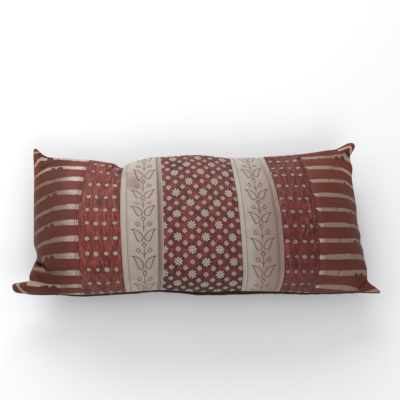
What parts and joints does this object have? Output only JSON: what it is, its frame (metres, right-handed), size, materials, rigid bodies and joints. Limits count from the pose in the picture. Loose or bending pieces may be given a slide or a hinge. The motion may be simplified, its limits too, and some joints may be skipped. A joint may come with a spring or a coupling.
{
  "type": "patchwork lumbar cushion",
  "caption": "Long plump cushion lying on its back, pieced of striped, dotted and flowered cloth panels with two cream bands laid over its front.",
  "frame": {"origin": "centre of the cushion's outline, on the surface it lies on", "axes": "+X along the cushion's length to the viewer's right, +Y from its lower long seam to its upper one, +Z out of its patterned front"},
  "size_m": [0.795, 0.3402, 0.163],
  "materials": {
    "cushion": "dull woven silk",
    "band_left": "soft satin",
    "band_right": "soft satin"
  },
  "bodies": {
    "root": {"cushion": "cushion", "band_left": "band_left", "band_right": "band_right"}
  },
  "joints": []
}
